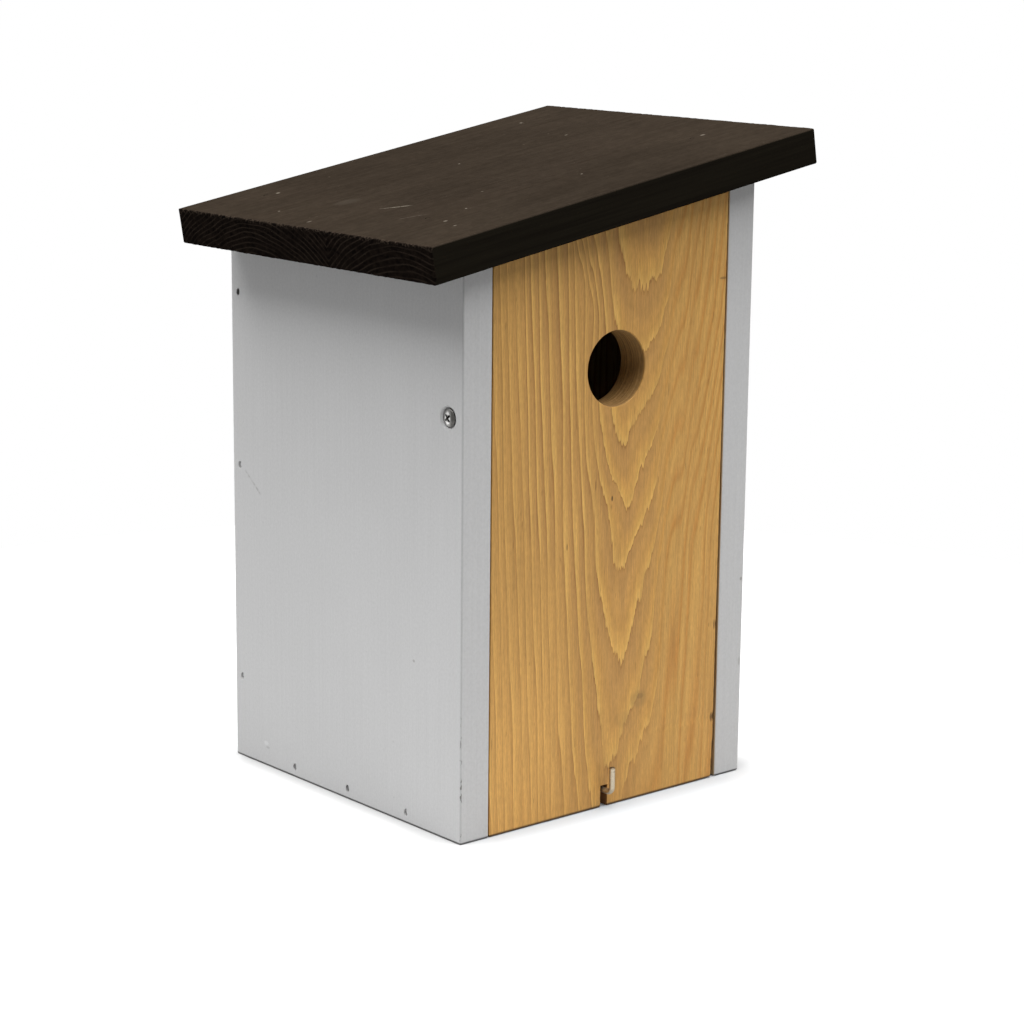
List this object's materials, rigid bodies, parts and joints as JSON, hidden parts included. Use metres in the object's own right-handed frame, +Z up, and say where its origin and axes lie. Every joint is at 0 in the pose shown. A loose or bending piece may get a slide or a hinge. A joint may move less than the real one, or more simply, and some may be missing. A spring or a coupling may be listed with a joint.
{
  "type": "nest box",
  "caption": "Wooden bird nest box with a roof sloping to one side, a round entrance hole and a front board that swings out on pivot screws, held shut by a turn hook.",
  "frame": {"origin": "middle of the underside of the box, between the side walls' outer faces and between their front and back edges", "axes": "+Z up, -Y out of the front with the entrance, +X to the right as seen from the front, towards the higher wall"},
  "size_m": [0.2112, 0.1724, 0.2842],
  "materials": {
    "grey_paint": "satin light grey paint over wood",
    "bare_wood": "planed bare softwood",
    "oiled_wood": "honey coloured oil on planed softwood",
    "dark_stain": "matt brown-black stain on planed softwood",
    "zinc_screw": "bright zinc",
    "zinc_wire": "dull nickel",
    "nail_steel": "dark steel"
  },
  "bodies": {
    "box": {"left_wall": "grey_paint", "right_wall": "grey_paint", "back_wall": "grey_paint", "floor_board": "bare_wood", "roof_board": "dark_stain", "left_back_nail_low": "nail_steel", "left_back_nail_mid": "nail_steel", "left_back_nail_high": "nail_steel", "right_back_nail_low": "nail_steel", "right_back_nail_mid": "nail_steel", "right_back_nail_high": "nail_steel", "left_floor_nail_front": "nail_steel", "left_floor_nail_mid": "nail_steel", "left_floor_nail_back": "nail_steel", "right_floor_nail_front": "nail_steel", "right_floor_nail_mid": "nail_steel", "right_floor_nail_back": "nail_steel", "left_roof_nail_front": "nail_steel", "left_roof_nail_back": "nail_steel", "right_roof_nail_front": "nail_steel", "right_roof_nail_back": "nail_steel"},
    "front": {"front_panel": "oiled_wood", "left_pivot_screw": "zinc_screw", "right_pivot_screw": "zinc_screw"},
    "latch": {"latch_hook": "zinc_wire"}
  },
  "joints": [
    {"name": "front_swing", "type": "hinge", "parent": "box", "child": "front", "pos_m": [0, -0.0704, 0.176], "axis": [-1, 0, 0], "range_deg": [0, 150]},
    {"name": "latch_turn", "type": "hinge", "parent": "box", "child": "latch", "pos_m": [-0.001, -0.0797, 0.0075], "axis": [0, -1, 0], "range_deg": [0, 180]}
  ]
}
